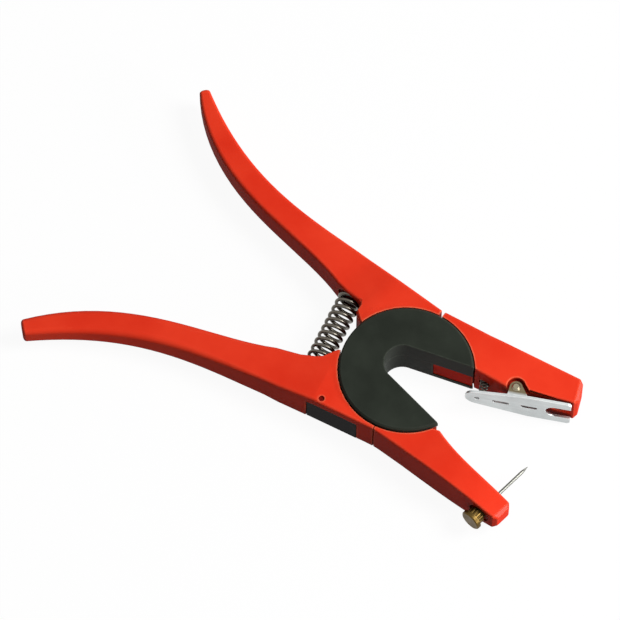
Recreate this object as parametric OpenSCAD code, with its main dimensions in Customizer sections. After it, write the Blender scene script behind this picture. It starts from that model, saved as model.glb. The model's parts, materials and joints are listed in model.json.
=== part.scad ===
// Ear tag applicator: two cast arms turning on a C-shaped hub, a sprung tag clip and a tag needle.
// It lies on its back hub cover. The hub axis is Z, the jaws point along +X and the handles along -X.

/* [Hub] */
// Radius of the front and back hub covers
cover_r = 30; // [29:0.25:31]
// Thickness of the front cover
front_cover_t = 3; // [2.4:0.1:4]
// Thickness of the back cover
back_cover_t = 2.2; // [2:0.1:3]
// Thickness of the pin arm's ring plate, which turns in the front layer
front_plate_t = 6.8; // [5:0.1:8]
// Thickness of the clip arm's ring plate, which is fixed in the back layer
back_plate_t = 10; // [8:0.1:12]
// How far each cover stands out of the arms
cover_proud = 1.2; // [0.6:0.1:1.8]
// Chamfer on the rim of each cover
cover_chamfer = 0.8; // [0.3:0.1:1.2]
// Radius of the C-shaped boss that the arms turn on
journal_r = 14; // [13.4:0.1:15]
// Radius of the rear end of the throat
throat_r = 8.5; // [7.5:0.1:8.8]
// Distance from the hub axis back to the centre of the throat's rear end
throat_back = 2.8; // [2:0.1:3]
// Sideways offset of the throat's centre line
throat_side = 1.5; // [0.5:0.1:2]
// Half of the angle that the throat opens out by
throat_flare = 13.75; // [10:0.25:15]

/* [Travel] */
// Angle that the handles close through
handle_travel = 30; // [28:0.5:31]
// Angle that the tag clip opens through
clip_travel = 12; // [6:1:14]

/* [Arms at the hub] */
// Direction of the joint line between the arms on the jaw side of the upper handle
upper_seam_dir = 93.7; // [90:0.1:96]
// Direction of the joint line between the arms on the lower side, where they meet when open
lower_seam_dir = 276.7; // [274:0.1:279]
// Direction of the end of the upper arm's lip round the hub
lip_dir = 163.8; // [161:0.1:165]
// Metal outside the hub wall at the upper joint line
upper_rim = 3.1; // [2.2:0.1:4]
// Metal outside the hub wall at the lower joint line
lower_rim = 1.8; // [1.4:0.1:3]
// Thickness of both arms at the lower joint line
lower_seam_t = 18.4; // [18:0.1:20]
// Rounding of the arms' long edges beside the hub
hub_edge_r = 1.4; // [0.8:0.1:2]
// Height of the flat that the return spring pushes on, above the hub axis
seat_y = 17.2; // [16.5:0.1:18]
// Distance from the hub axis back to the wall of the upper lip
lip_wall_x = 34.7; // [34.2:0.1:35.5]

/* [Upper handle] */
// Reach of the upper handle behind the hub axis
upper_reach = 154.6; // [140:1:166]
// Height of the end of the upper handle
upper_end_y = 67; // [60:0.5:71]
// Width of the upper handle at its root
upper_root_w = 18.4; // [17.5:0.1:19.5]
// Width of the upper handle a third of the way along
upper_neck_w = 12.4; // [10:0.1:14]
// Width of the upper handle two thirds of the way along
upper_grip_w = 10.9; // [9:0.1:13]
// Width of the upper handle at its end
upper_end_w = 5; // [4:0.1:9]
// Thickness of the upper handle at its root
upper_root_t = 15.6; // [14.8:0.1:17]
// Thickness of the upper handle at its end
upper_end_t = 11.2; // [8:0.1:13]

/* [Lower handle] */
// Reach of the lower handle behind the hub axis
lower_reach = 154; // [140:1:164]
// Depth of the end of the lower handle below the hub axis
lower_end_y = 75.2; // [69:0.5:80]
// Width of the lower handle at its root
lower_root_w = 17.2; // [16.5:0.1:18.5]
// Width of the lower handle a third of the way along
lower_neck_w = 12.7; // [10:0.1:14]
// Width of the lower handle two thirds of the way along
lower_grip_w = 11.9; // [10:0.1:14]
// Width of the lower handle at its end
lower_end_w = 8; // [6:0.1:11]
// Thickness of the lower handle at its root
lower_root_t = 16.4; // [16:0.1:18]
// Thickness of the lower handle at its end
lower_end_t = 10; // [8:0.1:12]
// Rounding of the ends of both handles
handle_end_r = 1.4; // [0.8:0.1:1.9]

/* [Clip jaw] */
// Reach of the clip jaw's upper corner from the hub axis
clip_jaw_x = 66; // [64:0.2:70]
// Height of the clip jaw's upper corner
clip_jaw_top_y = 40.1; // [38:0.1:42]
// Height of the clip jaw's lower corner
clip_jaw_low_y = 28.5; // [28.1:0.1:28.9]
// Thickness of the clip jaw at its end
clip_jaw_end_t = 17; // [15:0.2:18]
// Radius of the blind bore that takes the needle's point
point_bore_r = 3; // [2:0.1:3.5]
// Depth of that bore past the needle's point
point_bore_spare = 1.5; // [0.5:0.1:2.5]

/* [Pin jaw] */
// Reach of the pin jaw's upper corner from the hub axis
pin_jaw_x = 71.7; // [70:0.2:75]
// Depth of the pin jaw's upper corner below the hub axis
pin_jaw_top_y = 26.4; // [25.6:0.1:27.5]
// Depth of the pin jaw's lower corner below the hub axis
pin_jaw_low_y = 36.8; // [36:0.1:38]
// Thickness of the pin jaw at its end
pin_jaw_end_t = 11; // [9.6:0.2:14]
// Chamfer at the end of each jaw
jaw_chamfer = 1.6; // [0.4:0.1:2]

/* [Needle] */
// Place of the needle's axis along the top of the pin jaw
needle_x = 64.3; // [63:0.1:65.4]
// Lean of the needle towards the open end of the jaws
needle_lean = 10.6; // [8:0.2:12]
// Radius of the needle
needle_r = 0.75; // [0.6:0.05:1.2]
// Free length of the needle above its shank
needle_l = 20.2; // [18:0.1:22]
// Length of the needle's point
point_l = 3.5; // [2:0.25:6]
// Radius of the needle's threaded shank
shank_r = 2.2; // [1.8:0.05:2.6]
// Radius of the brass nut's end flange
nut_r = 4.9; // [4:0.1:5.4]
// Height of the brass nut
nut_h = 6.6; // [5:0.1:8]
// Number of flutes round the brass nut
nut_flutes = 14; // [8:1:18]

/* [Tag clip] */
// Place of the clip's pivot along the jaws
clip_pivot_x = 44.5; // [43.8:0.1:45]
// Height of the clip's pivot
clip_pivot_y = 20.8; // [20.5:0.1:21.2]
// Slope of the clip's plate at rest
clip_slope = 22.8; // [22.4:0.1:23.2]
// Distance from the pivot down to the clip's plate
clip_drop = 3.8; // [3.6:0.1:4]
// Thickness of the clip's sheet
clip_t = 1.2; // [1:0.1:1.4]
// Length of the clip's plate from its pivot to the end of its finger tail
clip_tail_l = 22; // [20:0.25:22.5]
// Length of the clip's plate from its pivot to the end of its fork
clip_fork_l = 25.6; // [24:0.1:26]
// Width of the fork
fork_w = 18.4; // [17:0.1:19]
// Width of the slot between the fork's two tines
fork_gap = 8.6; // [7:0.1:9]
// Length of the fork's slot
fork_depth = 11.3; // [10:0.1:13]
// Radius of the rounded tail
tail_r = 5.5; // [4.5:0.1:6]
// Radius of the clip's pivot pin
clip_pin_r = 1.25; // [1:0.05:1.5]

/* [Return spring] */
// Outer radius of the return spring
spring_r = 5.9; // [5:0.1:6.2]
// Radius of the return spring's wire
spring_wire_r = 0.8; // [0.6:0.02:0.84]
// Turns of the return spring
spring_turns = 12.5; // [8:0.5:12.5]
// Depth of each of the spring's two pockets
spring_pocket = 4; // [3:0.1:4.4]

/* [Storage plug] */
// Length of the plug in the lower handle's outer edge
plug_l = 25; // [20:0.5:25.5]
// Height of the plug's slot, which is open at the arm's back
plug_h = 15; // [10:0.25:16]
// Radius of the cross pin that holds the plug
plug_pin_r = 1.25; // [1:0.05:1.5]

/* [Fits] */
// Radial gap between the covers and the arms
cover_gap = 0.5; // [0.4:0.05:0.8]
// Gap between each face of the turning plate and its neighbour
face_gap = 0.2; // [0.15:0.05:0.3]
// Radial clearance of the turning plate on the journal
journal_fit = 0.06; // [0.03:0.01:0.09]
// Gap at the joint line that stops the arms when open
stop_gap = 0.35; // [0.3:0.05:0.6]
// Width of the open joint line between the arms
seam_gap = 1.6; // [1.2:0.1:2.6]
// Radial clearance of pins and screws in their holes
pin_fit = 0.05; // [0.02:0.01:0.08]
// Gap between the plug and its slot
plug_gap = 0.3; // [0.2:0.05:0.4]

/* [Hidden] */
$fn = 96;

red = [0.92, 0.22, 0.13];
black = [0.17, 0.18, 0.16];
steel = [0.72, 0.73, 0.74];
spring_grey = [0.45, 0.45, 0.44];
brass = [0.85, 0.70, 0.38];

eps = 0.01;

// Levels of the layers, counted from the face that the tool lies on
plate_z = back_cover_t;
pillar_z = plate_z + back_plate_t;
ring_z = pillar_z + face_gap;
front_cover_z = ring_z + front_plate_t + face_gap;
top_z = front_cover_z + front_cover_t;
mid_z = top_z / 2;
arm_t = top_z - 2 * cover_proud;

// Radii of the layers: arms' wall round the covers, plates in the hub, and where a plate joins its arm
wall_r = cover_r + cover_gap;
hub_plate_r = cover_r - 0.3;
merge_r = wall_r + 1;

// Share of the throat's radius at which its straight sides leave the round end
throat_merge = 0.998;

// Screws hold the two halves of the hub together through the clip arm's plate.
// The last two pass through posts that run in slots of the turning plate.
screw_ring_r = cover_r - 8;
screw_dirs = [58, 82, 175, 262];
post_screws = [2, 3];
screw_r = 1.7;
screw_head_r = 3.2;
screw_head_h = 1.6;
screw_sink = 0.25;
screw_point = 0.6;
screw_end_z = front_cover_z + front_cover_t / 2;
socket_r = 1.25;
socket_h = 1.2;
post_r = 3.3;
post_gap = 0.5;

// Arms beside the hub: end of the lower lip, edge roundings, metal at the lip's tip
lower_lip_dir = lip_dir + handle_travel + 2;
wall_edge_r = 0.3;
wall_steps = 9;
lip_t = 1.2;
seat_fillet = 2.5;

// Where the arms' outer edges leave the hub, and the metal outside the wall there
root_x = 26;
upper_root_rim = 4.8;
upper_slope = 0.11;
lower_root_rim = 5;
lower_slope = 0.16;
pin_rim = 1.8;
pin_edge_y = 33.2;
clip_rim = 4.8;
upper_taper_x = 46;
lower_taper_x = 50;

// Jaws: directions where they leave the hub, edge roundings, slant of the clip jaw's end
pin_jaw_root_dir = 326;
clip_jaw_root_dir = 35;
jaw_edge_r = 1.1;
clip_jaw_slant = 4.1;
pin_jaw_slant = 2;

corner_steps = 4;
handle_steps = 22;
pin_jaw_steps = 12;

// Ears of the clip, their clearances in the jaw, and the clip's own spring
ear_r = 2.9;
ear_t = 1.2;
ear_out_z = arm_t / 2 - 2;
ear_in_z = ear_out_z - ear_t;
ear_gap = 0.35;
ear_toe = 6;
ear_heel = 3.3;
relief_gap = 0.3 + (clip_drop + clip_t / 2) * sin(clip_travel);
clip_slots = [-8.6, 4.1];
clip_slot_l = 5.6;
clip_slot_r = 1;
clip_spring_u = -14.5;
clip_spring_r = 2.2;
clip_spring_wire_r = 0.35;
clip_spring_top = 4.6;
rivet_head_r = 2.1;
rivet_head_h = 0.9;

// Return spring: its lower seat's height, clearance round it, and how far its ends stop short
lower_seat_y = 17.2;
spring_room = 0.6;
spring_end_gap = 0.3;

// Brass nut on the needle's shank, seated on a flat under the pin jaw
nut_seat = 9.9;
nut_neck_r = 3;
nut_neck_h = 1.6;
nut_barrel_r = 3.9;
nut_flange_h = 2;
nut_chamfer = 0.5;
flute_r = 0.55;
needle_sink = 0.9;
needle_shank_l = nut_seat + nut_h - 1.5;

// Storage plug: start of its slot behind the hub axis, how far the cut runs out past the arm,
// and its cross pin's place and depth below the arm's face
slot_x = 4.5;
slot_spare = 4;
plug_pin_at = [-23.2, -wall_r - 2.2];
plug_pin_sink = 0.4;

// A point at a radius and direction round the hub
function polar(r, a) = [r * cos(a), r * sin(a)];
// A point part of the way from a to b
function mix(a, b, t) = a * (1 - t) + b * t;
// A point on the Bezier curve through the control points p
function bezier(p, t) =
    len(p) == 1 ? p[0]
    : bezier([for (i = [0:len(p) - 2]) mix(p[i], p[i + 1], t)], t);
// The unit direction of that curve
function heading(p, t) =
    let (d = bezier([for (i = [0:len(p) - 2]) p[i + 1] - p[i]], t))
    d / norm(d);
// The value at s on the cubic through four evenly spaced values
function through(v, s) =
    let (x = 3 * s)
    v[0] * (1 - x) * (2 - x) * (3 - x) / 6 + v[1] * x * (2 - x) * (3 - x) / 2
    + v[2] * x * (x - 1) * (3 - x) / 2 + v[3] * x * (x - 1) * (x - 2) / 6;
// The left-hand normal of a direction
function left(d) = [-d[1], d[0]];

// A cross-section standing across the top view from point p to point q, its edges rounded by rp and rq
function section(p, q, t, rp, rq) =
    let (
        w = norm(q - p),
        u = (q - p) / w,
        c = (p + q) / 2,
        most = min(w, t) / 2 - eps
    )
    [for (k = [0:3], j = [0:corner_steps])
        let (
            a = k * 90 + j * 90 / corner_steps,
            r = min(k == 0 || k == 3 ? rq : rp, most),
            x = (k == 0 || k == 3 ? w / 2 - r : r - w / 2) + r * cos(a),
            z = (k < 2 ? t / 2 - r : r - t / 2) + r * sin(a)
        )
        [c[0] + u[0] * x, c[1] + u[1] * x, mid_z + z]];

// A solid skinned over stations, each given as [p, q, thickness, rounding at p, rounding at q]
module loft(stations) {
    m = 4 * (corner_steps + 1);
    n = len(stations);
    points = [for (s = stations) each section(s[0], s[1], s[2], s[3], s[4])];
    sides = [for (i = [0:n - 2], j = [0:m - 1])
        let (a = i * m + j, b = i * m + (j + 1) % m)
        each [[a, b, b + m], [a, b + m, a + m]]];
    first = [[for (j = [0:m - 1]) m - 1 - j]];
    last = [[for (j = [0:m - 1]) (n - 1) * m + j]];
    polyhedron(points, concat(first, sides, last), convexity = 8);
}

// Stations along a handle whose centre line is a curve, with a flat end rounded at its rim
function handle_stations(path, w, t, r) = concat(
    [for (i = [0:handle_steps])
        let (
            s = i / handle_steps,
            c = bezier(path, s),
            n = left(heading(path, s)) * through(w, s) / 2
        )
        [c + n, c - n, bezier(t, s), bezier(r, s), bezier(r, s)]],
    [for (a = [30, 60, 85])
        let (
            d = heading(path, 1),
            c = bezier(path, 1) + d * handle_end_r * sin(a),
            inset = handle_end_r * (1 - cos(a)),
            n = left(d) * (w[3] / 2 - inset)
        )
        [c + n, c - n, bezier(t, 1) - 2 * inset, bezier(r, 1), bezier(r, 1)]]);

// Part of a ring round the hub axis, between two radii, two directions and two levels
module ring_sector(r0, r1, a0, a1, z0, z1) {
    translate([0, 0, z0])
        rotate([0, 0, a0])
        rotate_extrude(angle = a1 - a0)
        translate([r0, 0])
        square([r1 - r0, z1 - z0]);
}

// The throat that the animal's ear and the tag go into
module throat_2d(grow = 0) {
    r = throat_r + grow;
    side = throat_merge * r;
    along = [cos(throat_flare), sin(throat_flare)];
    translate([-throat_back, throat_side]) {
        circle(r);
        polygon([
            side * [-along[1], along[0]],
            side * [-along[1], -along[0]],
            side * [-along[1], -along[0]] + 2 * cover_r * [along[0], -along[1]],
            side * [-along[1], along[0]] + 2 * cover_r * along
        ]);
    }
}

module throat(grow = 0) {
    translate([0, 0, -1])
        linear_extrude(top_z + 2)
        throat_2d(grow);
}

// Puts its children at screw number i
module at_screw(i) {
    rotate([0, 0, screw_dirs[i]])
        translate([screw_ring_r, 0, 0])
        children();
}

// ---- hub ----

module cover_disc(t) {
    rotate_extrude()
        polygon([[0, 0], [cover_r - cover_chamfer, 0], [cover_r, cover_chamfer], [cover_r, t], [0, t]]);
}

module hub_back_cover() {
    color(black)
    difference() {
        union() {
            cover_disc(back_cover_t);
            translate([0, 0, back_cover_t - 1])
                cylinder(h = pillar_z - back_cover_t + 1, r = journal_r);
        }
        throat();
        for (i = [0:3])
            at_screw(i) {
                translate([0, 0, -1])
                    cylinder(h = pillar_z, r = screw_r + pin_fit);
                translate([0, 0, screw_sink])
                    cylinder(h = screw_head_h, r1 = screw_head_r + pin_fit, r2 = screw_r + pin_fit);
                translate([0, 0, -1])
                    cylinder(h = 1 + screw_sink + eps, r = screw_head_r + pin_fit);
            }
    }
}

// The front half carries the pillar beside the throat and two posts in the turning plate's slots
module hub_front_cover() {
    color(black)
    difference() {
        union() {
            translate([0, 0, top_z])
                mirror([0, 0, 1])
                cover_disc(front_cover_t);
            translate([0, 0, pillar_z])
                cylinder(h = front_cover_z - pillar_z + 1, r = journal_r);
            ring_sector(journal_r - 2, hub_plate_r, 10, upper_seam_dir - 3, pillar_z, front_cover_z + 1);
            for (i = post_screws)
                at_screw(i)
                translate([0, 0, pillar_z])
                cylinder(h = front_cover_z - pillar_z + 1, r = post_r);
        }
        throat();
        for (i = [0:3])
            at_screw(i)
            translate([0, 0, pillar_z - 1])
            cylinder(h = screw_end_z + 0.4 - pillar_z + 1, r = screw_r + pin_fit);
    }
}

// Countersunk screw with a hexagon socket, put in from the back
module hub_screw(i) {
    color(steel)
    at_screw(i)
    difference() {
        rotate_extrude()
            polygon([
                [0, screw_sink],
                [screw_head_r, screw_sink],
                [screw_r, screw_sink + screw_head_h],
                [screw_r, screw_end_z - screw_point],
                [screw_r - screw_point, screw_end_z],
                [0, screw_end_z]
            ]);
        translate([0, 0, screw_sink - 1])
            cylinder(h = socket_h + 1, r = socket_r, $fn = 6);
    }
}

// ---- arms ----

// Control points of the two handles' centre lines
upper_path = [
    [-47.7, 28.5],
    [-75.6, 35],
    [49.2 - upper_reach, 34],
    [21.4 - upper_reach, 46.8],
    [-upper_reach, upper_end_y]
];
lower_path = [
    [-52, -30.6],
    [-78.4, -38.3],
    [47.3 - lower_reach, -40],
    [21.6 - lower_reach, -53.9],
    [-lower_reach, -lower_end_y]
];

// Direction offset that leaves a gap of the given width at the hub wall
function gap_angle(w) = w / wall_r * 180 / PI;

upper_seam_a = upper_seam_dir - gap_angle(seam_gap) / 2;
upper_seam_b = upper_seam_dir + gap_angle(seam_gap) / 2;
lower_seam_a = lower_seam_dir - gap_angle(stop_gap) / 2;
lower_seam_b = lower_seam_dir + gap_angle(stop_gap) / 2;

// Round corner between the upper lip's wall and the spring's seat
function seat_corner(a) =
    [-lip_wall_x - seat_fillet * (1 - cos(a)), seat_y - seat_fillet * (1 - sin(a))];

// Stations along the hub wall from direction a0 to a1, whose outer points run along the line from b0 to b1
// and whose thickness changes from t0 to t1. The wall is the q side where turn is 1, else the p side.
function wall_stations(a0, a1, b0, b1, t0, t1, turn) =
    [for (i = [0:wall_steps])
        let (
            s = i / wall_steps,
            wall = polar(wall_r, a0 + (a1 - a0) * s),
            rim = mix(b0, b1, s),
            t = mix(t0, t1, s)
        )
        turn == 1 ? [rim, wall, t, hub_edge_r, wall_edge_r] : [wall, rim, t, wall_edge_r, hub_edge_r]];

// Points of the arms' outer edges, and the arms' thickness, at a distance x behind the hub axis
function upper_outer(x) = [-x, wall_r + upper_root_rim + upper_slope * (x - root_x)];
function lower_outer(x) = [-x, -wall_r - lower_root_rim - lower_slope * (x - root_x)];
function upper_taper(x) = mix(arm_t, upper_root_t, (x - root_x) / (upper_taper_x - root_x));
function lower_taper(x) = mix(arm_t, lower_root_t, (x - root_x) / (lower_taper_x - root_x));

// A station behind the hub, between an inner point and the arm's outer edge at x
function upper_root(inner, x) = [inner, upper_outer(x), upper_taper(x), hub_edge_r, hub_edge_r];
function lower_root(inner, x) = [lower_outer(x), inner, lower_taper(x), hub_edge_r, hub_edge_r];

// The upper arm beside the hub, from its joint line back to the handle's root
upper_hub = concat(
    wall_stations(
        upper_seam_b, lip_dir,
        polar(wall_r + upper_rim, upper_seam_b), upper_outer(root_x), arm_t, arm_t, 0),
    [
        upper_root(polar(wall_r + lip_t, lip_dir + 0.6), root_x + 0.6),
        upper_root([0.3 - lip_wall_x, 11.6], 30.5),
        upper_root(seat_corner(0), 32.5),
        upper_root(seat_corner(45), 34),
        upper_root(seat_corner(90), 36),
        upper_root([-43.5, seat_y + 0.7], 41.5)
    ]);

// The lower arm beside the hub, whose inner edge slopes away behind the lip to the spring's seat
lower_hub = concat(
    wall_stations(
        lower_seam_a, lower_lip_dir,
        polar(wall_r + lower_rim, lower_seam_a), lower_outer(root_x), lower_seam_t, arm_t, 1),
    [
        lower_root(polar(wall_r + lip_t, lower_lip_dir - 0.6), root_x + 0.6),
        lower_root([-33, -12], 29),
        lower_root([-34.4, -14.3], 32),
        lower_root([-37, -16.2], 36),
        lower_root([-43.5, -19.2], 43)
    ]);

// The pin jaw's two curved edges
pin_jaw_top = [[28.4, -16], [42, -22.4], [53, -23.2], [pin_jaw_x, -pin_jaw_top_y]];
pin_jaw_low = [
    [22, -pin_edge_y],
    [38, -pin_edge_y - 1.1],
    [54, -pin_edge_y - 2.6],
    [pin_jaw_x - pin_jaw_slant, -pin_jaw_low_y]
];
pin_jaw_hub = wall_stations(
    lower_seam_b, pin_jaw_root_dir,
    polar(wall_r + pin_rim, lower_seam_b), [20, 0.1 - pin_edge_y], lower_seam_t, lower_seam_t, 0);

// The clip jaw's upper edge and its underside, which steps up past the clip's pivot
clip_jaw_low = [
    [27.5, 17.4],
    [41, 18.2],
    [46, 18.5],
    [50.7, 22],
    [clip_jaw_x + clip_jaw_slant, clip_jaw_low_y]
];
clip_jaw_top = [[22, wall_r + clip_rim], [clip_jaw_x, clip_jaw_top_y]];
clip_jaw_hub = wall_stations(
    upper_seam_a, clip_jaw_root_dir,
    polar(wall_r + upper_rim, upper_seam_a), clip_jaw_top[0], arm_t, arm_t, 1);

// The last two stations of a jaw, whose end is chamfered
function jaw_end(p, q, t, r) =
    let (d = left(q - p) / norm(q - p), u = (q - p) / norm(q - p), c = jaw_chamfer)
    [
        [p, q, t, r, r],
        [p + (u + d) * c, q + (d - u) * c, t - 2 * c, r, r]
    ];

needle_dir = [sin(needle_lean), cos(needle_lean)];
needle_base = [needle_x, needle_sink - pin_jaw_top_y];
needle_tip = needle_base + needle_dir * needle_l;

// Brings its children, drawn along +Z from the jaw's top, onto the needle's axis
module on_needle() {
    translate([needle_base[0], needle_base[1], mid_z])
        rotate([-90, 0, -needle_lean])
        children();
}

function turned(p, a) = [p[0] * cos(a) - p[1] * sin(a), p[0] * sin(a) + p[1] * cos(a)];

// The return spring's two seats and its axis
spring_top = [-42.8, seat_y + spring_pocket];
spring_low = [-36.3, -lower_seat_y - spring_pocket];
spring_axis = spring_top - spring_low;
spring_l = norm(spring_axis);

module on_spring() {
    translate([spring_low[0], spring_low[1], mid_z])
        rotate([-90, 0, atan2(spring_axis[1], spring_axis[0]) - 90])
        children();
}

module spring_bore(from, to) {
    on_spring()
        translate([0, 0, from])
        cylinder(h = to - from, r = spring_r + spring_room);
}

// Joins a plate to its arm through the gap round the covers
module merge_ring(a0, a1, z0, z1) {
    ring_sector(hub_plate_r - 1, merge_r, a0, a1, z0, z1);
}

// The clip arm's C-shaped plate in the back layer, which the two halves of the hub clamp
module back_plate() {
    difference() {
        union() {
            ring_sector(journal_r + pin_fit, hub_plate_r, 10, 350, plate_z, pillar_z);
            merge_ring(clip_jaw_root_dir + 3, upper_seam_a - 1, plate_z, pillar_z);
            merge_ring(lower_lip_dir + 2, lower_seam_a - 1, plate_z, pillar_z);
        }
        throat(0.4);
        for (i = [0:3])
            at_screw(i)
            cylinder(h = top_z, r = screw_r + pin_fit);
    }
}

// The clip arm: lower handle, back plate and clip jaw in one casting
module clip_jaw_arm() {
    color(red)
    union() {
        difference() {
            loft(concat(lower_hub, handle_stations(
                lower_path,
                [lower_root_w, lower_neck_w, lower_grip_w, lower_end_w],
                [lower_root_t, lower_end_t + 2, lower_end_t],
                [hub_edge_r, 3.6, 2.4])));
            spring_bore(0, spring_l / 2);
            storage_slot();
        }
        difference() {
            loft(clip_jaw_stations);
            clip_reliefs();
            point_bore();
        }
        back_plate();
    }
}

clip_jaw_stations = concat(
    clip_jaw_hub,
    [for (i = [0:3])
        let (
            q = clip_jaw_low[i],
            s = (q[0] - clip_jaw_top[0][0]) / (clip_jaw_low[4][0] - clip_jaw_top[0][0]),
            p = mix(clip_jaw_top[0], clip_jaw_top[1], s)
        )
        [p, q, mix(arm_t, clip_jaw_end_t, s), jaw_edge_r, jaw_edge_r]],
    jaw_end(clip_jaw_top[1], clip_jaw_low[4], clip_jaw_end_t, jaw_edge_r));

// The two side recesses for the clip's ears, and the bore for its pin
module clip_reliefs() {
    on_clip()
        for (side = [0, 1])
            mirror([0, 0, side])
            translate([0, 0, ear_in_z - ear_gap])
            linear_extrude(arm_t)
            ear_2d(relief_gap);
    on_clip()
        translate([0, 0, -arm_t])
        cylinder(h = 2 * arm_t, r = clip_pin_r + pin_fit);
    on_clip()
        translate([clip_spring_u, 0, 0])
        rotate([-90, 0, 0])
        cylinder(h = clip_spring_top, r = clip_spring_r + 0.25);
}

// The blind bore that the needle's point enters when the handles are closed
module point_bore() {
    tip = turned(needle_tip, handle_travel);
    translate([tip[0], tip[1], mid_z])
        rotate([-90, 0, handle_travel - needle_lean])
        translate([0, 0, -needle_l])
        cylinder(h = needle_l + point_bore_spare, r = point_bore_r);
}

// The pin arm's C-shaped plate in the front layer, which turns round the hub's boss
module front_plate() {
    z1 = front_cover_z - face_gap;
    difference() {
        union() {
            ring_sector(journal_r + journal_fit, hub_plate_r, upper_seam_b, 350, ring_z, z1);
            merge_ring(upper_seam_b + 1, lip_dir - 2, ring_z, z1);
            merge_ring(lower_seam_b + 1, pin_jaw_root_dir - 1, ring_z, z1);
        }
        throat(0.4);
        for (i = post_screws)
            post_slot(screw_dirs[i]);
    }
}

// The pin arm: upper handle, front plate and pin jaw in one casting
module pin_jaw_arm() {
    color(red)
    union() {
        difference() {
            loft(concat(upper_hub, handle_stations(
                upper_path,
                [upper_root_w, upper_neck_w, upper_grip_w, upper_end_w],
                [upper_root_t, upper_root_t - 0.3, upper_end_t],
                [hub_edge_r, 2.4, 1.4])));
            spring_bore(spring_l / 2, spring_l);
        }
        difference() {
            loft(pin_jaw_stations);
            needle_bore();
        }
        front_plate();
    }
}

pin_jaw_stations = concat(
    pin_jaw_hub,
    [for (i = [0:pin_jaw_steps])
        let (s = i / pin_jaw_steps, t = bezier([lower_seam_t, arm_t, arm_t - 0.5, pin_jaw_end_t], s))
        [bezier(pin_jaw_top, s), bezier(pin_jaw_low, s), t, jaw_edge_r, jaw_edge_r]],
    [jaw_end(bezier(pin_jaw_top, 1), bezier(pin_jaw_low, 1), pin_jaw_end_t, jaw_edge_r)[1]]);

// The hole for the needle's shank, and the flat that its nut seats on
module needle_bore() {
    on_needle() {
        translate([0, 0, -nut_seat - 1])
            cylinder(h = nut_seat + 5, r = shank_r + pin_fit);
        translate([0, 0, -nut_seat - 2])
            cylinder(h = 2, r = nut_r);
    }
}

// Slot in the turning plate that a post of the front cover runs in
module post_slot(a) {
    r = post_r + post_gap;
    a0 = a - handle_travel;
    ring_sector(screw_ring_r - r, screw_ring_r + r, a0, a, ring_z - 1, front_cover_z + 1);
    for (end = [a0, a])
        rotate([0, 0, end])
        translate([screw_ring_r, 0, ring_z - 1])
        cylinder(h = front_plate_t + 2, r = r);
}

// ---- return spring ----

// A compression coil standing on z = 0, with its end turns closed
module coil(l, r, wire_r, turns, steps, sides) {
    closed = 2.1 * wire_r;
    pitch = (l - 2 * wire_r - 2 * closed) / (turns - 2);
    function rise(n) =
        wire_r + (n < 1 ? n * closed : n > turns - 1 ? l - 2 * wire_r - (turns - n) * closed
        : closed + (n - 1) * pitch);
    count = floor(turns * steps);
    points = [for (i = [0:count], j = [0:sides - 1])
        let (n = i / steps, a = 360 * n, b = 360 * j / sides, q = r - wire_r + wire_r * cos(b))
        [q * cos(a), q * sin(a), rise(n) + wire_r * sin(b)]];
    skin = [for (i = [0:count - 1], j = [0:sides - 1])
        let (p = i * sides + j, q = i * sides + (j + 1) % sides)
        each [[p, q + sides, q], [p, p + sides, q + sides]]];
    first = [[for (j = [0:sides - 1]) j]];
    last = [[for (j = [0:sides - 1]) count * sides + sides - 1 - j]];
    polyhedron(points, concat(first, skin, last), convexity = 20);
}

module return_spring() {
    color(spring_grey)
    on_spring()
    translate([0, 0, spring_end_gap])
    coil(spring_l - 2 * spring_end_gap, spring_r, spring_wire_r, spring_turns, 16, 8);
}

// ---- tag clip ----

// Brings its children from the clip's own axes, origin on the pivot and X along the plate
module on_clip() {
    translate([clip_pivot_x, clip_pivot_y, mid_z])
        rotate([0, 0, clip_slope])
        children();
}

// An ear of the clip, seen from the side, with its rim moved out by grow
module ear_2d(grow = 0) {
    r = ear_r + grow;
    low = -clip_drop - clip_t / 2 - 3 * grow;
    circle(r);
    polygon([
        [-ear_heel - grow, low],
        [ear_toe + grow, low],
        [ear_toe + grow, -clip_drop + grow],
        r * [cos(50), sin(50)],
        r * [cos(170), sin(170)]
    ]);
}

// The clip's plate, seen from above it: finger tail, two slots and open fork
module clip_plate_2d() {
    tail = -clip_tail_l + tail_r;
    wide = 6;
    flare = asin((fork_w / 2 - tail_r) / (wide - tail));
    corner = 1.2;
    difference() {
        union() {
            translate([tail, 0])
                circle(tail_r);
            polygon([
                [tail - tail_r * sin(flare), tail_r * cos(flare)],
                [wide, fork_w / 2],
                [clip_fork_l - corner, fork_w / 2],
                [clip_fork_l, fork_w / 2 - corner],
                [clip_fork_l, -fork_w / 2 + corner],
                [clip_fork_l - corner, -fork_w / 2],
                [wide, -fork_w / 2],
                [tail - tail_r * sin(flare), -tail_r * cos(flare)]
            ]);
        }
        translate([clip_fork_l - fork_depth + fork_gap / 2, 0]) {
            circle(d = fork_gap);
            translate([0, -fork_gap / 2])
                square([fork_depth, fork_gap]);
        }
        translate([tail, 0])
            circle(1.2);
        for (start = clip_slots)
            translate([start, 0]) {
                circle(clip_slot_r);
                translate([0, -clip_slot_r])
                    square([clip_slot_l, 2 * clip_slot_r]);
                translate([clip_slot_l, 0])
                    circle(clip_slot_r);
            }
    }
}

module tag_clip() {
    color(steel)
    on_clip()
    difference() {
        union() {
            translate([0, -clip_drop, 0])
                rotate([90, 0, 0])
                linear_extrude(clip_t)
                clip_plate_2d();
            for (side = [0, 1])
                mirror([0, 0, side])
                translate([0, 0, ear_in_z])
                linear_extrude(ear_t)
                ear_2d();
        }
        translate([0, 0, -arm_t])
            cylinder(h = 2 * arm_t, r = clip_pin_r + pin_fit);
    }
}

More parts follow.
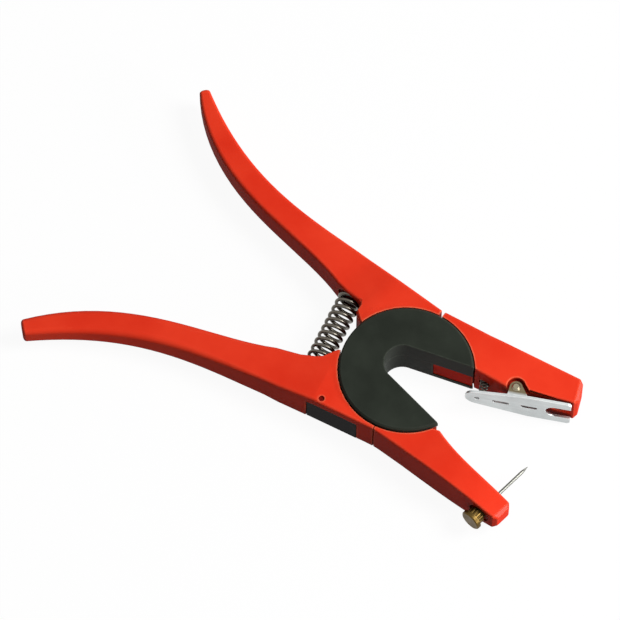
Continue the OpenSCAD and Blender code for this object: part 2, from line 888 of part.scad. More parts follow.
// Rivet through the ears and the jaw, with a domed head on each side
module clip_pin() {
    face = ear_out_z + pin_fit;
    color(steel)
    on_clip()
    union() {
        translate([0, 0, -face - 0.1])
            cylinder(h = 2 * face + 0.2, r = clip_pin_r);
        for (side = [0, 1])
            mirror([0, 0, side])
            translate([0, 0, face])
            cylinder(h = rivet_head_h, r1 = rivet_head_r, r2 = rivet_head_r * 0.6);
    }
}

// Small coil between the jaw and the finger tail, which holds the clip shut
module clip_spring() {
    color(spring_grey)
    on_clip()
    translate([clip_spring_u, 0.1 - clip_drop, 0])
    rotate([-90, 0, 0])
    coil(clip_spring_top + clip_drop - 0.2, clip_spring_r, clip_spring_wire_r, 6, 12, 6);
}

// ---- needle ----

module tag_needle() {
    color(steel)
    on_needle()
    rotate_extrude()
    polygon([
        [0, needle_l],
        [0.12, needle_l],
        [needle_r, needle_l - point_l],
        [needle_r, 0],
        [shank_r, -0.8],
        [shank_r, -needle_shank_l],
        [0, -needle_shank_l]
    ]);
}
// Brass thumb nut: neck, fluted barrel and end flange
module needle_nut() {
    color(brass)
    on_needle()
    difference() {
        union() {
            translate([0, 0, -nut_seat - nut_neck_h])
                cylinder(h = nut_neck_h, r = nut_neck_r);
            translate([0, 0, -nut_seat - nut_h + nut_flange_h - eps])
                cylinder(h = nut_h - nut_flange_h - nut_neck_h + 2 * eps, r = nut_barrel_r);
            translate([0, 0, -nut_seat - nut_h])
                cylinder(h = nut_chamfer, r1 = nut_r - nut_chamfer, r2 = nut_r);
            translate([0, 0, -nut_seat - nut_h + nut_chamfer])
                cylinder(h = nut_flange_h - nut_chamfer, r = nut_r);
        }
        translate([0, 0, -needle_shank_l - 0.3])
            cylinder(h = needle_shank_l, r = shank_r + pin_fit);
        for (i = [1:nut_flutes])
            rotate([0, 0, i * 360 / nut_flutes])
            translate([nut_barrel_r + flute_r / 2, 0, -nut_seat - nut_h + nut_flange_h + 0.2])
            cylinder(h = nut_h, r = flute_r);
    }
}

// ---- storage plug ----

// Outline of the slot in the lower arm's outer edge, moved in by gap and cut out past the edge
module slot_2d(gap, past) {
    back = -slot_x - plug_l + gap;
    front = -slot_x - gap;
    edge_a = lower_outer(root_x);
    edge_b = polar(wall_r + lower_rim, lower_seam_a);
    function edge_y(x) = mix(edge_a[1], edge_b[1], (x - edge_a[0]) / (edge_b[0] - edge_a[0]));
    polygon([
        [front, -wall_r - 1.3 - gap],
        [back, -wall_r - gap],
        [back, edge_y(back) + gap - past],
        [front, edge_y(front) + gap - past]
    ]);
}

// The slot's cut in the lower arm, with its pin's hole
module storage_slot() {
    translate([0, 0, mid_z - arm_t / 2 - 1])
        linear_extrude(plug_h + 1)
        slot_2d(0, slot_spare);
    plug_pin_hole();
}

module plug_pin_hole() {
    translate([plug_pin_at[0], plug_pin_at[1], -1])
        cylinder(h = top_z + 2, r = plug_pin_r + pin_fit);
}

// Black plug that closes the slot, held by a cross pin
module storage_plug() {
    color(black)
    difference() {
        translate([0, 0, mid_z - arm_t / 2 + 2 * plug_gap])
            linear_extrude(plug_h - 3 * plug_gap)
            slot_2d(plug_gap, 0);
        plug_pin_hole();
    }
}

module plug_pin() {
    color(steel)
    translate([plug_pin_at[0], plug_pin_at[1], mid_z - arm_t / 2 + plug_pin_sink + 0.6])
    cylinder(h = arm_t - 2 * plug_pin_sink - 1.2, r = plug_pin_r);
}

clip_jaw_arm();
pin_jaw_arm();
hub_front_cover();
hub_back_cover();
hub_screw(0);  // hub_screw_1
hub_screw(1);  // hub_screw_2
hub_screw(2);  // hub_screw_3
hub_screw(3);  // hub_screw_4
return_spring();
tag_clip();
clip_pin();
clip_spring();
tag_needle();
needle_nut();
storage_plug();
plug_pin();
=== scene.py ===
"""Ear tag applicator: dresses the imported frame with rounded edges, drawn springs and finishes."""

import json
from math import cos, radians, sin

import bmesh
import bpy
from bpy.props import FloatProperty, FloatVectorProperty, IntProperty, PointerProperty
from bpy.types import Operator, Panel, PropertyGroup
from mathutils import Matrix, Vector

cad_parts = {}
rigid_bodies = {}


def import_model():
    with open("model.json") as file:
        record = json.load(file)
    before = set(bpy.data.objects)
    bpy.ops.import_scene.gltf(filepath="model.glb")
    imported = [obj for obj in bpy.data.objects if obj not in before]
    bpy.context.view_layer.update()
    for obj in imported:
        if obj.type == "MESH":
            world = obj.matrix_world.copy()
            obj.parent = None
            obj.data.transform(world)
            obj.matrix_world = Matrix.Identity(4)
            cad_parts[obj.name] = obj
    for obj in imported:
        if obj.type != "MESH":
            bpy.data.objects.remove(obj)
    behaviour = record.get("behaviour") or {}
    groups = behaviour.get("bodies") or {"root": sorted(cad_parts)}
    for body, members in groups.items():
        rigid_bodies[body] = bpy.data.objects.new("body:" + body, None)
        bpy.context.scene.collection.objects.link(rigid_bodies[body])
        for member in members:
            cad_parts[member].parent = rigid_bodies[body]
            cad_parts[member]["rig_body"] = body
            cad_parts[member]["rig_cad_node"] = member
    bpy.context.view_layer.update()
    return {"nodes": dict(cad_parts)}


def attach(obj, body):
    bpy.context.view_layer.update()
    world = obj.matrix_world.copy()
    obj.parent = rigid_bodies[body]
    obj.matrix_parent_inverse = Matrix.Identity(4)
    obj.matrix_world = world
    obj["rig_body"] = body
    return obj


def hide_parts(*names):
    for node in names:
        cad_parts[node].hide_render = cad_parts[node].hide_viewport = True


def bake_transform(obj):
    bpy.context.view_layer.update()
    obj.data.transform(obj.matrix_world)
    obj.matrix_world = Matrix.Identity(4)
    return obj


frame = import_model()

bl_info = {
    "name": "Ear Tag Applicator",
    "version": (1, 0, 0),
    "blender": (4, 5, 0),
    "location": "View3D > Sidebar > Applicator",
    "description": "Dresses an ear tag applicator's castings, springs, clip, needle and nut",
    "category": "Object",
}

MM = 0.001
WHITE = (1.0, 1.0, 1.0, 1.0)
EVEN = (1.0, 1.0, 1.0)
UNTURNED = (0.0, 0.0, 0.0)

# the radius about the pivot that the hub and its covers stay within
HUB_RIM = 31.5 * MM
# the least turn, in degrees, of an edge that counts as sharp on the castings
CASTING_TURN = 28
# the widest turn that still joins two triangles of a coil to one quad
COIL_TURN = radians(60)
# the open clip: the turn of its plate, and its rivet in millimetres
CLIP_SLOPE = radians(22.8)
CLIP_RIVET = (44.5, 20.8, 11.2)
# how far below the rivet the painted shade on the clip's ears starts and is full
EARS_START = 3.6 * MM
EARS_FULL = 2.2 * MM
# how far the needle and its nut lean from the Y axis
NEEDLE_LEAN = radians(10.6)
# each lamp's place, width and power setting
LAMPS = {
    "key_lamp": ((1.4, 0.84, 2.0), 1.1, "key_power"),
    "side_lamp": ((1.21, 0.13, 0.34), 0.2, "side_power"),
    "end_lamp": ((0.92, 0.87, 0.085), 0.16, "end_power"),
}


def srgb(red, green, blue):
    """A scene-linear colour from 0 to 255 screen values."""

    def linear(value):
        share = value / 255
        return share / 12.92 if share <= 0.04045 else ((share + 0.055) / 1.055) ** 2.4

    return (linear(red), linear(green), linear(blue))


def colour(name, default, description):
    return FloatVectorProperty(
        name=name, description=description, default=default, subtype="COLOR", min=0, max=1
    )


def length(name, default, description):
    return FloatProperty(
        name=name, description=description, default=default, subtype="DISTANCE", unit="LENGTH"
    )


def angle(name, default, description):
    return FloatProperty(name=name, description=description, default=default, subtype="ANGLE")


def power(name, default, description):
    return FloatProperty(name=name, description=description, default=default, subtype="POWER")


def share(name, default, description):
    return FloatProperty(name=name, description=description, default=default, min=0, max=1)


# ---- settings ----


class ApplicatorShapes(PropertyGroup):
    """Sizes of the finishing work on each piece."""

    casting_edge: length("Casting edge", 0.3 * MM, "Rounding of the castings' sharp edges")
    cover_edge: length("Cover edge", 0.35 * MM, "Rounding of the hub covers and the plug")
    sheet_edge: length("Sheet edge", 0.18 * MM, "Rounding of the pressed clip's edges")
    small_edge: length("Small edge", 0.12 * MM, "Rounding of the nut, screws, rivet and pin")
    coil_levels: IntProperty(
        name="Coil smoothing", description="Subdivision of the spring wire", default=2, min=1, max=3
    )


class ApplicatorFinishes(PropertyGroup):
    """Colours of the pieces."""

    enamel: colour("Enamel", srgb(240, 63, 37), "Red enamel of the two castings")
    enamel_deep: colour("Deep enamel", srgb(226, 47, 25), "Red where the enamel lies thicker")
    # paler red of the rubbed edges, which also serves as a painted highlight
    enamel_rubbed_highlight: colour("Thin enamel", srgb(250, 142, 104), "Paler red along rubbed edges")
    # painted shade: the pin's sunk end is coloured dark red for the shade in its recess
    enamel_pin_shade: colour("Sunk enamel", srgb(112, 14, 8), "Dark red on the cross pin's sunk end")
    cover: colour("Cover", srgb(38, 42, 36), "Moulded black of the hub covers")
    cover_rubbed: colour("Rubbed cover", srgb(84, 89, 80), "Grey of the covers' rubbed edges")
    plug: colour("Plug", srgb(18, 16, 16), "Moulded black of the storage plug")
    zinc: colour("Zinc plate", srgb(204, 209, 209), "Plated sheet of the tag clip")
    # painted shade: the ears of the same plated sheet are coloured darker and warmer
    zinc_ear_shade: colour("Warm zinc", srgb(120, 108, 84), "Plating on the clip's ears")
    rivet: colour("Rivet", srgb(150, 142, 120), "Peened steel of the rivet")
    needle: colour("Needle", srgb(112, 112, 106), "Ground steel of the needle")
    wire: colour("Spring wire", srgb(104, 99, 90), "Drawn wire of both springs")
    screw: colour("Screw", srgb(84, 84, 86), "Oiled steel of the hub screws")
    brass: colour("Brass", srgb(94, 75, 39), "Turned brass of the needle's nut")
    # painted shade, with tarnish, that the nut's hollows darken to
    brass_hollow_shade: colour("Dull brass", srgb(44, 34, 14), "Tarnish in the nut's hollows")


class ApplicatorView(PropertyGroup):
    """Camera, floor and lamps."""

    azimuth: angle("Camera azimuth", radians(-55.9), "Direction of the camera from the hub")
    elevation: angle("Camera elevation", radians(63.9), "Height of the camera, as an angle")
    look_at: FloatVectorProperty(
        name="Look at",
        description="Point in the middle of the view",
        default=(-51.3 * MM, -0.2 * MM, 22.5 * MM),
        subtype="TRANSLATION",
    )
    distance: length("Camera distance", 2.2, "Distance from the camera to that point")
    view_width: length("View width", 275.6 * MM, "Width of the view at that point")
    floor_size: length("Floor size", 6.0, "Width of the plain floor")
    key_power: power("Key power", 67.0, "Power of the large lamp high beyond the jaws")
    side_power: power("Side power", 6.0, "Power of the low lamp that edges the pin jaw's end")
    end_power: power("End power", 2.6, "Power of the small lamp that edges the clip jaw's end")
    sky: share("Sky", 0.12, "Strength of the even light from all round")
    bounce: share("Bounce", 0.14, "Share of the light that the floor throws back up")
    floor_shadow: share("Floor shadow", 0.06, "How strongly shadows show on the floor")


# ---- modelling helpers ----


def select_only(piece):
    bpy.ops.object.select_all(action="DESELECT")
    piece.select_set(True)
    bpy.context.view_layer.objects.active = piece


def in_edit_mode(piece, work):
    """Runs work with every face of the piece selected in edit mode."""
    select_only(piece)
    bpy.ops.object.mode_set(mode="EDIT")
    bpy.ops.mesh.select_mode(type="VERT")
    bpy.ops.mesh.select_all(action="SELECT")
    work()
    bpy.ops.object.mode_set(mode="OBJECT")


def copy_of(node, name):
    """A merged copy of a frame node, at the origin and on no body."""
    select_only(frame["nodes"][node])
    bpy.ops.object.duplicate()
    piece = bpy.context.active_object
    piece.name = name
    piece.data.name = name
    bpy.ops.object.parent_clear(type="CLEAR_KEEP_TRANSFORM")
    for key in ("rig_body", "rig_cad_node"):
        del piece[key]
    piece.data.materials.clear()
    bpy.ops.mesh.customdata_custom_splitnormals_clear()
    in_edit_mode(piece, lambda: bpy.ops.mesh.remove_doubles(threshold=1e-6))
    return piece


def flatten_faces(piece, degrees=0.6):
    """Dissolves the edges inside flat faces, so that only real edges are left."""
    in_edit_mode(
        piece,
        lambda: bpy.ops.mesh.dissolve_limited(
            angle_limit=radians(degrees), use_dissolve_boundaries=False
        ),
    )


def add_modifier(piece, kind, **values):
    """Adds a modifier with these values to the piece and applies it."""
    select_only(piece)
    bpy.ops.object.modifier_add(type=kind)
    modifier = piece.modifiers[-1]
    for name, value in values.items():
        setattr(modifier, name, value)
    bpy.ops.object.modifier_apply(modifier=modifier.name)


def mark_sharp_outside(piece, degrees, radius):
    """Weighs the sharp edges that lie clear of the hub, for a bevel limited by weight."""
    work = bmesh.new()
    work.from_mesh(piece.data)
    weights = work.edges.layers.float.new("bevel_weight_edge")
    for edge in work.edges:
        clear = all(corner.co.xy.length > radius for corner in edge.verts)
        if clear and edge.calc_face_angle(0.0) > radians(degrees):
            edge[weights] = 1.0
    work.to_mesh(piece.data)
    work.free()


def drop_slivers():
    """Merges edges of no length, and removes what that leaves loose, in edit mode."""
    bpy.ops.mesh.dissolve_degenerate(threshold=2e-6)
    bpy.ops.mesh.select_all(action="SELECT")
    bpy.ops.mesh.delete_loose(use_verts=True, use_edges=True, use_faces=False)


def round_edges(piece, width, segments=3, degrees=35, limit="ANGLE"):
    """Rounds the sharp edges, or with limit "WEIGHT" only the marked ones."""
    add_modifier(
        piece,
        "BEVEL",
        width=width,
        segments=segments,
        limit_method=limit,
        angle_limit=radians(degrees),
        use_clamp_overlap=limit == "ANGLE",
        miter_outer="MITER_ARC",
    )
    in_edit_mode(piece, drop_slivers)


def shade(piece, degrees=38):
    """Smooth shading that stays flat on the large faces beside a rounded edge."""
    select_only(piece)
    bpy.ops.object.shade_smooth_by_angle(angle=radians(degrees))
    add_modifier(piece, "WEIGHTED_NORMAL", keep_sharp=True, weight=80)


def finish_piece(piece, body, material, slot, *nodes):
    """Gives the piece its material and body, and hides the frame nodes it stands in for; the slot
    is not used.
    """
    piece.data.materials.clear()
    piece.data.materials.append(material)
    if body:
        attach(piece, body)
    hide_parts(*nodes)


def rounded_piece(node, name, body, material, slot, edge, segments=3, degrees=35):
    """Puts a copy of a frame node in its place, with its edges rounded by a width."""
    piece = copy_of(node, name)
    flatten_faces(piece)
    round_edges(piece, edge, segments, degrees)
    shade(piece)
    finish_piece(piece, body, material, slot, node)


def smooth_coil(node, name, growth, levels):
    """A round-wired coil from a frame node's many-sided one.

    Growth pushes the wire's skin out by what the subdivision takes off it.
    """
    piece = copy_of(node, name)
    in_edit_mode(
        piece,
        lambda: bpy.ops.mesh.tris_convert_to_quads(
            face_threshold=COIL_TURN, shape_threshold=COIL_TURN
        ),
    )
    add_modifier(piece, "DISPLACE", strength=growth, mid_level=0.0)
    add_modifier(piece, "SUBSURF", levels=levels, render_levels=levels)
    bpy.ops.object.shade_smooth()
    return piece


# ---- shader nodes ----


class Graph:
    """Adds and links the nodes of one node tree."""

    def __init__(self, tree):
        self.tree = tree

    def node(self, kind, **values):
        prefix = "" if kind.startswith("NodeGroup") else "ShaderNode"
        node = self.tree.nodes.new(prefix + kind)
        for name, value in values.items():
            setattr(node, name, value)
        return node

    def link(self, source, target):
        self.tree.links.new(source, target)

    def put(self, socket, value):
        """Links the socket to another one, or sets its value."""
        if isinstance(value, bpy.types.NodeSocket):
            self.link(value, socket)
        else:
            socket.default_value = value

    def feed(self, node, **sockets):
        """Sets or links sockets, whose names are given with _ for each space."""
        for name, value in sockets.items():
            self.put(node.inputs[name.replace("_", " ")], value)
        return node


def object_place(graph):
    return graph.node("TexCoord").outputs["Object"]


def noise(graph, vector, scale, detail=3.0, roughness=0.5):
    node = graph.node("TexNoise")
    graph.feed(node, Vector=vector, Scale=scale, Detail=detail, Roughness=roughness)
    return node.outputs["Fac"]


def ranged(graph, value, low, high, to_low=0.0, to_high=1.0):
    """The value carried over from one range to another, and held inside it."""
    node = graph.node("MapRange")
    graph.feed(node, Value=value, From_Min=low, From_Max=high, To_Min=to_low, To_Max=to_high)
    return node.outputs["Result"]


def blended(graph, factor, first, second):
    """A mix of two colours."""
    node = graph.node("Mix", data_type="RGBA")
    # a Mix node has sockets of one name for each kind, and these are its colours
    for number, value in ((0, factor), (6, first), (7, second)):
        graph.put(node.inputs[number], value)
    return node.outputs[2]


def maths(graph, operation, first, second):
    node = graph.node("Math", operation=operation)
    graph.put(node.inputs[0], first)
    graph.put(node.inputs[1], second)
    return node.outputs[0]


def mixed_shader(graph, factor, first, second):
    node = graph.node("MixShader")
    for socket, value in zip(node.inputs, (factor, first, second)):
        graph.put(socket, value)
    return node.outputs[0]


def seen_directly(graph):
    """Is 1 for rays that show the surround in the view, in a reflection or through glass."""
    path = graph.node("LightPath").outputs
    direct = maths(graph, "MAXIMUM", path["Is Camera Ray"], path["Is Transmission Ray"])
    return maths(graph, "MAXIMUM", direct, path["Is Glossy Ray"])


# ---- shader groups ----


def start_group(name, inputs, outputs):
    """A new shader group's graph, its input sockets and its output node.

    Each named socket is given as (name, kind, default).
    """
    group = bpy.data.node_groups.new(name, "ShaderNodeTree")
    for direction, sockets in (("INPUT", inputs), ("OUTPUT", outputs)):
        for socket_name, kind, default in sockets:
            socket = group.interface.new_socket(
                name=socket_name, in_out=direction, socket_type="NodeSocket" + kind
            )
            if default is not None:
                socket.default_value = default
    graph = Graph(group)
    return graph, graph.node("NodeGroupInput").outputs, graph.node("NodeGroupOutput")


def colour_drift_group():
    """Slow, soft change between two shades over the surface."""
    graph, given, result = start_group(
        "Colour drift",
        [
            ("Main", "Color", None),
            ("Other", "Color", None),
            ("Scale", "Float", 30.0),
            ("Amount", "Float", 0.5),
        ],
        [("Color", "Color", None)],
    )
    cloud = noise(graph, object_place(graph), given["Scale"], detail=4.0, roughness=0.55)
    amount = maths(graph, "MULTIPLY", ranged(graph, cloud, 0.35, 0.7), given["Amount"])
    graph.feed(result, Color=blended(graph, amount, given["Main"], given["Other"]))
    return graph.tree


def fine_grain_group():
    """Height of a fine, even grain with a slower swell under it."""
    graph, given, result = start_group(
        "Fine grain",
        [("Scale", "Float", 900.0), ("Swell", "Float", 0.4)],
        [("Height", "Float", None)],
    )
    place = object_place(graph)
    grain = noise(graph, place, given["Scale"], detail=2.0)
    slower = maths(graph, "MULTIPLY", given["Scale"], 0.22)
    swell = maths(graph, "MULTIPLY", noise(graph, place, slower, detail=2.0), given["Swell"])
    graph.feed(result, Height=maths(graph, "ADD", grain, swell))
    return graph.tree


def drawn_lines_group():
    """Mask of fine lines from rolling, drawing or turning, along the way that Stretch shrinks."""
    graph, given, result = start_group(
        "Drawn lines",
        [
            ("Scale", "Float", 400.0),
            ("Stretch", "Vector", EVEN),
            ("Turn", "Vector", UNTURNED),
        ],
        [("Mask", "Float", None)],
    )
    turn = graph.feed(graph.node("Mapping"), Vector=object_place(graph), Rotation=given["Turn"])
    stretch = graph.feed(
        graph.node("Mapping"), Vector=turn.outputs["Vector"], Scale=given["Stretch"]
    )
    lines = noise(graph, stretch.outputs["Vector"], given["Scale"], detail=3.0, roughness=0.6)
    graph.feed(result, Mask=ranged(graph, lines, 0.3, 0.7))
    return graph.tree


def handling_marks_group():
    """Mask of sparse small rubs and specks."""
    graph, given, result = start_group(
        "Handling marks",
        [("Scale", "Float", 60.0), ("Threshold", "Float", 0.62)],
        [("Mask", "Float", None)],
    )
    patches = noise(graph, object_place(graph), given["Scale"], detail=5.0, roughness=0.7)
    full = maths(graph, "ADD", given["Threshold"], 0.12)
    graph.feed(result, Mask=ranged(graph, patches, given["Threshold"], full))
    return graph.tree


def edge_rubs_and_highlights_group():
    """Mask of broken rubs along edges, which also serve as painted highlights, from how little
    material lies just inside the surface.
    """
    graph, given, result = start_group(
        "Edge wear",
        [
            ("Reach", "Float", 1.0 * MM),
            ("Breaks", "Float", 300.0),
            ("Strength", "Float", 1.0),
        ],
        [("Mask", "Float", None)],
    )
    inside = graph.node("AmbientOcclusion", inside=True, only_local=True, samples=8)
    graph.feed(inside, Distance=given["Reach"])
    edge = ranged(graph, inside.outputs["AO"], 0.98, 0.7)
    breaks = noise(graph, object_place(graph), given["Breaks"], detail=4.0, roughness=0.65)
    halved = maths(graph, "MULTIPLY", ranged(graph, breaks, 0.38, 0.62), 0.5)
    rubbed = maths(graph, "MULTIPLY", edge, maths(graph, "ADD", halved, 0.5))
    graph.feed(result, Mask=maths(graph, "MULTIPLY", rubbed, given["Strength"]))
    return graph.tree


def hollow_shade_and_grime_group():
    """Mask of painted shade, with grime, in corners and narrow gaps between parts."""
    graph, given, result = start_group(
        "Hollow dirt",
        [("Reach", "Float", 2.0 * MM), ("Strength", "Float", 1.0)],
        [("Mask", "Float", None)],
    )
    around = graph.feed(graph.node("AmbientOcclusion", samples=8), Distance=given["Reach"])
    hollow = ranged(graph, around.outputs["AO"], 0.85, 0.3)
    graph.feed(result, Mask=maths(graph, "MULTIPLY", hollow, given["Strength"]))
    return graph.tree


GROUP_MAKERS = {
    "Colour drift": colour_drift_group,
    "Fine grain": fine_grain_group,
    "Drawn lines": drawn_lines_group,
    "Handling marks": handling_marks_group,
    "Edge wear": edge_rubs_and_highlights_group,
    "Hollow dirt": hollow_shade_and_grime_group,
}
made_groups = {}


def place_group(graph, name, **sockets):
    """Places the named group in a material, and returns what it puts out."""
    if name not in made_groups:
        made_groups[name] = GROUP_MAKERS[name]()
    node = graph.node("Group", node_tree=made_groups[name])
    return graph.feed(node, **sockets).outputs[0]


# ---- materials ----


def opaque(rgb):
    return (*rgb[:3], 1.0)


def scaled(rgb, factor):
    """A colour made darker or lighter, up to full strength."""
    return tuple(min(1.0, factor * channel) for channel in rgb)


def start_material(name, **shader_values):
    """A new material with a Principled shader whose plain sockets are set."""
    material = bpy.data.materials.new(name)
    material.use_nodes = True
    graph = Graph(material.node_tree)
    shader = material.node_tree.nodes["Principled BSDF"]
    graph.feed(shader, **shader_values)
    return material, graph, shader


def add_bump(graph, shader, height, strength, distance):
    bump = graph.node("Bump")
    graph.feed(bump, Height=height, Strength=strength, Distance=distance)
    graph.feed(shader, Normal=bump.outputs["Normal"])


def enamel_material(name, main, deep, rubbed_highlight):
    """Stove enamel over a casting: slight orange peel, dull rubs, worn, paler edges that also serve
    as a painted highlight, and painted shade in its hollows and gaps.
    """
    material, graph, shader = start_material(
        name, Coat_Weight=0.08, Coat_Roughness=0.2, Specular_IOR_Level=0.0
    )
    shown = place_group(
        graph, "Colour drift", Main=opaque(main), Other=opaque(deep), Scale=34.0, Amount=0.8
    )
    # rubbed edges, also a painted highlight: paler enamel along the edges
    rubs_and_highlights = place_group(graph, "Edge wear", Reach=0.9 * MM, Breaks=180.0, Strength=0.6)
    # painted shade, with grime: hollows and gaps near other parts darken towards a quarter of the
    # deep red
    shade_and_grime = place_group(graph, "Hollow dirt", Reach=4.5 * MM, Strength=0.85)
    shown = blended(graph, rubs_and_highlights, shown, opaque(rubbed_highlight))
    shown = blended(graph, shade_and_grime, shown, opaque(scaled(deep, 0.25)))
    marks = place_group(graph, "Handling marks", Scale=95.0, Threshold=0.6)
    dull = maths(graph, "MAXIMUM", marks, rubs_and_highlights)
    graph.feed(shader, Base_Color=shown, Roughness=ranged(graph, dull, 0.0, 1.0, 0.42, 0.58))
    peel = place_group(graph, "Fine grain", Scale=620.0, Swell=0.9)
    add_bump(graph, shader, peel, strength=0.08, distance=0.12 * MM)
    return material


def moulded_material(name, main, rubbed, roughness, gloss=0.05):
    """Moulded black plastic with a fine sparked grain and greyed edges."""
    material, graph, shader = start_material(name, Specular_IOR_Level=gloss)
    lighter = opaque(scaled(main, 1.7))
    drift = place_group(
        graph, "Colour drift", Main=opaque(main), Other=lighter, Scale=46.0, Amount=0.8
    )
    rubs_and_highlights = place_group(graph, "Edge wear", Reach=0.7 * MM, Breaks=520.0, Strength=0.45)
    graph.feed(shader, Base_Color=blended(graph, rubs_and_highlights, drift, opaque(rubbed)))
    marks = place_group(graph, "Handling marks", Scale=130.0, Threshold=0.58)
    graph.feed(shader, Roughness=ranged(graph, marks, 0.0, 1.0, roughness, roughness - 0.1))
    grain = place_group(graph, "Fine grain", Scale=2600.0, Swell=0.3)
    add_bump(graph, shader, grain, strength=0.3, distance=0.06 * MM)
    return material


def metal_material(
    name,
    main,
    dull,
    roughness,
    stretch=EVEN,
    turn=UNTURNED,
    scale=500.0,
    lines=0.2,
    reach=1.2 * MM,
    edges=0.5,
):
    """Bare or plated metal with fine working lines, slight stains, rubbed edges that also serve as
    a painted highlight, and painted shade with tarnish in its hollows.

    Scale, stretch and turn lay the lines, and lines is how strongly they show in relief. Reach is
    how near a neighbour has to be for the painted shade with tarnish, and edges is how brightly the
    edges are rubbed and lit by a painted highlight.
    """
    material, graph, shader = start_material(name, Metallic=1.0)
    darker = opaque(scaled(main, 0.72))
    shown = place_group(
        graph, "Colour drift", Main=opaque(main), Other=darker, Scale=120.0, Amount=0.55
    )
    worked = place_group(graph, "Drawn lines", Scale=scale, Stretch=stretch, Turn=turn)
    shown = blended(graph, maths(graph, "MULTIPLY", worked, 0.18), shown, darker)
    # painted shade, with tarnish: hollows and gaps near other parts darken towards the dull colour
    shade_and_grime = place_group(graph, "Hollow dirt", Reach=reach, Strength=0.9)
    shown = blended(graph, shade_and_grime, shown, opaque(dull))
    # rubbed edges, also a painted highlight: the edges turn up to 1.8 times lighter
    rubs_and_highlights = place_group(graph, "Edge wear", Reach=0.5 * MM, Breaks=700.0, Strength=edges)
    shown = blended(graph, rubs_and_highlights, shown, opaque(scaled(main, 1.8)))
    rough = ranged(graph, worked, 0.0, 1.0, roughness, roughness + 0.14)
    graph.feed(shader, Base_Color=shown, Roughness=rough)
    add_bump(graph, shader, worked, strength=lines, distance=0.04 * MM)
    return material


def shaded_and_tarnished(rgb):
    """The painted shade, with tarnish, in a plain metal's hollows."""
    return scaled(rgb, 0.25)


def shade_the_ears(material, ear_shade):
    """Paints a darker, warmer shade onto the clip's ears, which stand above the plate."""
    graph = Graph(material.node_tree)
    shader = material.node_tree.nodes["Principled BSDF"]
    height = graph.node("VectorMath", operation="DOT_PRODUCT")
    graph.put(height.inputs[0], object_place(graph))
    graph.put(height.inputs[1], (-sin(CLIP_SLOPE), cos(CLIP_SLOPE), 0.0))
    rivet = (-CLIP_RIVET[0] * sin(CLIP_SLOPE) + CLIP_RIVET[1] * cos(CLIP_SLOPE)) * MM
    ears = ranged(graph, height.outputs["Value"], rivet - EARS_START, rivet - EARS_FULL)
    plating = shader.inputs["Base Color"].links[0].from_socket
    graph.feed(shader, Base_Color=blended(graph, ears, plating, opaque(ear_shade)))


# ---- operators ----


class APPLICATOR_OT_castings(Operator):
    """Round the edges of the two red castings and enamel them"""

    bl_idname = "applicator.castings"
    bl_label = "Castings"

    def execute(self, context):
        shapes, colours = context.scene.applicator_shapes, context.scene.applicator_finishes
        enamel = enamel_material(
            "red_enamel", colours.enamel, colours.enamel_deep, colours.enamel_rubbed_highlight
        )
        for node, name, body in (
            ("clip_jaw_arm", "clip_arm_casting", "clip_arm"),
            ("pin_jaw_arm", "pin_arm_casting", "pin_arm"),
        ):
            piece = copy_of(node, name)
            flatten_faces(piece)
            mark_sharp_outside(piece, CASTING_TURN, HUB_RIM)
            round_edges(piece, shapes.casting_edge, limit="WEIGHT")
            shade(piece, CASTING_TURN)
            finish_piece(piece, body, enamel, "red_paint", node)
        return {"FINISHED"}


class APPLICATOR_OT_covers(Operator):
    """Round the edges of the hub's two black covers and grain them"""

    bl_idname = "applicator.covers"
    bl_label = "Hub covers"

    def execute(self, context):
        shapes, colours = context.scene.applicator_shapes, context.scene.applicator_finishes
        black = moulded_material("moulded_black", colours.cover, colours.cover_rubbed, 0.5)
        for node, name in (("hub_front_cover", "front_cover"), ("hub_back_cover", "back_cover")):
            rounded_piece(node, name, "clip_arm", black, "black_cover", shapes.cover_edge)
        return {"FINISHED"}


class APPLICATOR_OT_screws(Operator):
    """Round the four hub screws and oil them"""

    bl_idname = "applicator.screws"
    bl_label = "Hub screws"

    def execute(self, context):
        shapes, colours = context.scene.applicator_shapes, context.scene.applicator_finishes
        steel = metal_material(
            "oiled_screw_steel", colours.screw, shaded_and_tarnished(colours.screw), 0.42, (1.0, 1.0, 0.2)
        )
        for number in range(1, 5):
            rounded_piece(
                f"hub_screw_{number}",
                f"cover_screw_{number}",
                "clip_arm",
                steel,
                "screw_steel",
                shapes.small_edge,
                segments=2,
            )
        return {"FINISHED"}


class APPLICATOR_OT_springs(Operator):
    """Draw the return spring and the clip's spring in round wire"""

    bl_idname = "applicator.springs"
    bl_label = "Springs"

    def execute(self, context):
        shapes, colours = context.scene.applicator_shapes, context.scene.applicator_finishes
        wire = metal_material(
            "spring_wire",
            colours.wire,
            shaded_and_tarnished(colours.wire),
            0.24,
            scale=900.0,
            lines=0.3,
            edges=0.0,
        )
        spring = smooth_coil("return_spring", "handle_spring", 0.11 * MM, shapes.coil_levels)
        finish_piece(spring, None, wire, "spring_steel", "return_spring")
        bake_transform(spring)
        small = smooth_coil("clip_spring", "tail_spring", 0.04 * MM, shapes.coil_levels)
        finish_piece(small, None, wire, "spring_steel", "clip_spring")
        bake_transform(small)
        return {"FINISHED"}


